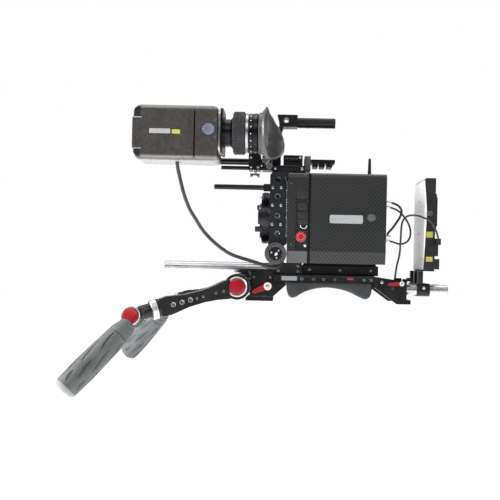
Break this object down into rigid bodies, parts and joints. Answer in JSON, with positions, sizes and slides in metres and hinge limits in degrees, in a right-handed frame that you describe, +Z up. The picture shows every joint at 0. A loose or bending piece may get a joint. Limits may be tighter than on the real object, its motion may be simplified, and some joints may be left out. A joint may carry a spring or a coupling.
{
  "type": "cinema camera rig",
  "caption": "Shoulder-mounted cinema camera rig with tilting viewfinder, sliding base, support rods, battery plate and two folding hand grips on locking rosette arms.",
  "frame": {"origin": "centre of the tripod thread, on the underside of the front foot's plate", "axes": "+X to the rear of the camera, the lens faces -X, +Y to the operator's right, +Z up"},
  "size_m": [0.5175, 0.4034, 0.3916],
  "materials": {
    "black_anodised": "satin",
    "carbon": "twill weave under satin resin",
    "dark_plastic": "fine grain",
    "gray_plastic": "fine grain",
    "gray_rubber": "matt",
    "black_rubber": "soft sheen",
    "foam": "dense felted foam",
    "steel": "brushed",
    "aluminium": "satin",
    "white_paint": "satin",
    "red_anodised": "satin",
    "red_plastic": "gloss",
    "cable": "matt",
    "board": "solder mask"
  },
  "bodies": {
    "base": {"front_foot": "black_anodised", "front_block": "black_anodised", "rod_saddle": "black_anodised", "base_rail": "black_anodised", "base_screws": "steel", "shoulder_pad": "foam", "rear_wings": "black_anodised", "rear_block": "black_anodised", "rear_rods": "steel", "rod_clamp": "black_anodised", "power_plate": "dark_plastic", "battery_mount": "dark_plastic", "power_cable": "cable", "handle_bracket": "black_anodised"},
    "battery_release": {"battery_release": "dark_plastic"},
    "front_lever": {"front_lever": "red_anodised"},
    "rear_lever": {"rear_lever": "red_anodised"},
    "camera": {"sliding_plate": "black_anodised", "mini_plate": "black_anodised", "chassis": "black_anodised", "left_cover": "carbon", "front_panel": "carbon", "right_cover": "carbon", "rear_panel": "dark_plastic", "button_strip": "black_rubber", "lens_mount": "aluminium", "sensor_block": "dark_plastic", "electronics": "board", "cage_plates": "black_anodised", "top_plates": "black_anodised", "rosette_discs": "aluminium", "top_handle": "black_anodised", "accessory_rail": "black_anodised", "antenna": "dark_plastic", "video_cable": "cable", "audio_cable": "cable", "vf_rail": "black_anodised", "viewfinder_cable": "cable"},
    "front_rods": {"front_rods": "steel"},
    "mount_ring": {"mount_ring": "black_anodised"},
    "menu_key": {"menu_key": "gray_plastic"},
    "soft_keys": {"soft_keys": "gray_plastic"},
    "rec_button": {"rec_button": "red_plastic"},
    "vf_carriage": {"vf_clamp": "black_anodised"},
    "vf_knob": {"vf_knob": "steel"},
    "viewfinder": {"vf_housing": "gray_plastic", "eyepiece": "black_anodised"},
    "vf_screen": {"vf_screen": "gray_plastic"},
    "focus_ring": {"focus_ring": "black_rubber"},
    "eyecup": {"eyecup": "black_rubber"},
    "left_arm": {"left_arm": "black_anodised"},
    "left_arm_button": {"left_arm_button": "red_anodised"},
    "left_swivel": {"left_swivel": "black_anodised"},
    "left_grip": {"left_grip": "gray_rubber"},
    "left_grip_button": {"left_grip_button": "red_anodised"},
    "right_arm": {"right_arm": "black_anodised"},
    "right_arm_button": {"right_arm_button": "red_anodised"},
    "right_swivel": {"right_swivel": "black_anodised"},
    "right_grip": {"right_grip": "gray_rubber"},
    "right_grip_button": {"right_grip_button": "red_anodised"}
  },
  "joints": [
    {"name": "camera_slide", "type": "slide", "parent": "base", "child": "camera", "axis": [1, 0, 0], "range_m": [0, 0.012]},
    {"name": "front_rods_slide", "type": "slide", "parent": "camera", "child": "front_rods", "axis": [1, 0, 0], "range_m": [-0.025, 0]},
    {"name": "lens_lock_turn", "type": "hinge", "parent": "camera", "child": "mount_ring", "pos_m": [0.006, 0, 0.122], "axis": [1, 0, 0], "range_deg": [0, 40]},
    {"name": "menu_key_press", "type": "slide", "parent": "camera", "child": "menu_key", "axis": [0, 1, 0], "range_m": [0, 0.001], "stiffness_N_per_m": 500},
    {"name": "soft_keys_press", "type": "slide", "parent": "camera", "child": "soft_keys", "axis": [0, 1, 0], "range_m": [0, 0.001], "stiffness_N_per_m": 500},
    {"name": "rec_button_press", "type": "slide", "parent": "camera", "child": "rec_button", "axis": [0, 1, 0], "range_m": [0, 0.001], "stiffness_N_per_m": 500},
    {"name": "viewfinder_slide", "type": "slide", "parent": "camera", "child": "vf_carriage", "axis": [1, 0, 0], "range_m": [-0.02, 0], "deforming": ["viewfinder_cable"]},
    {"name": "viewfinder_tilt", "type": "hinge", "parent": "vf_carriage", "child": "viewfinder", "pos_m": [-0.011, -0.054, 0.231], "axis": [0, 1, 0], "range_deg": [-20, 40], "deforming": ["viewfinder_cable"]},
    {"name": "viewfinder_knob_turn", "type": "hinge", "parent": "vf_carriage", "child": "vf_knob", "pos_m": [-0.009, -0.05, 0.182], "axis": [0, 0, 1], "range_deg": [0, 90]},
    {"name": "screen_hinge", "type": "hinge", "parent": "viewfinder", "child": "vf_screen", "pos_m": [-0.09, -0.1215, 0.226], "axis": [0, 0, 1], "range_deg": [0, 90]},
    {"name": "focus_turn", "type": "hinge", "parent": "viewfinder", "child": "focus_ring", "pos_m": [-0.029, -0.096, 0.231], "axis": [1, 0, 0], "range_deg": [-60, 60]},
    {"name": "eyecup_turn", "type": "hinge", "parent": "viewfinder", "child": "eyecup", "pos_m": [0, -0.096, 0.231], "axis": [1, 0, 0], "range_deg": [-90, 90]},
    {"name": "front_lever_turn", "type": "hinge", "parent": "base", "child": "front_lever", "pos_m": [0.0124, -0.048, 0.022], "axis": [0, 1, 0], "range_deg": [0, 60]},
    {"name": "rear_lever_turn", "type": "hinge", "parent": "base", "child": "rear_lever", "pos_m": [0.203, -0.052, 0.0295], "axis": [0, 1, 0], "range_deg": [-15, 70]},
    {"name": "battery_release_press", "type": "slide", "parent": "base", "child": "battery_release", "axis": [0, 1, 0], "range_m": [0, 0.001], "stiffness_N_per_m": 500},
    {"name": "left_arm_swing", "type": "hinge", "parent": "base", "child": "left_arm", "pos_m": [-0.029, -0.077, 0.0216], "axis": [0, 1, 0], "range_deg": [-45, 35]},
    {"name": "left_arm_button_press", "type": "slide", "parent": "left_arm", "child": "left_arm_button", "axis": [0, 1, 0], "range_m": [0, 0.0015], "stiffness_N_per_m": 900},
    {"name": "left_swivel_turn", "type": "hinge", "parent": "left_arm", "child": "left_swivel", "pos_m": [-0.134, -0.118, -0.009], "axis": [-0.899, -0.351, -0.262], "range_deg": [-60, 60]},
    {"name": "left_grip_turn", "type": "hinge", "parent": "left_swivel", "child": "left_grip", "pos_m": [-0.162, -0.134, -0.02], "axis": [-0.1, -0.9511, 0.2924], "range_deg": [-40, 40]},
    {"name": "left_grip_button_press", "type": "slide", "parent": "left_grip", "child": "left_grip_button", "axis": [0.1, 0.9511, -0.2924], "range_m": [0, 0.0015], "stiffness_N_per_m": 900},
    {"name": "right_arm_swing", "type": "hinge", "parent": "base", "child": "right_arm", "pos_m": [-0.029, 0.077, 0.0216], "axis": [0, 1, 0], "range_deg": [-45, 35]},
    {"name": "right_arm_button_press", "type": "slide", "parent": "right_arm", "child": "right_arm_button", "axis": [0, -1, 0], "range_m": [0, 0.0015], "stiffness_N_per_m": 900},
    {"name": "right_swivel_turn", "type": "hinge", "parent": "right_arm", "child": "right_swivel", "pos_m": [-0.134, 0.118, -0.009], "axis": [0.899, -0.351, 0.262], "range_deg": [-60, 60]},
    {"name": "right_grip_turn", "type": "hinge", "parent": "right_swivel", "child": "right_grip", "pos_m": [-0.162, 0.134, -0.02], "axis": [0.1, -0.9511, -0.2924], "range_deg": [-40, 40]},
    {"name": "right_grip_button_press", "type": "slide", "parent": "right_grip", "child": "right_grip_button", "axis": [0.1, -0.9511, -0.2924], "range_m": [0, 0.0015], "stiffness_N_per_m": 900}
  ]
}
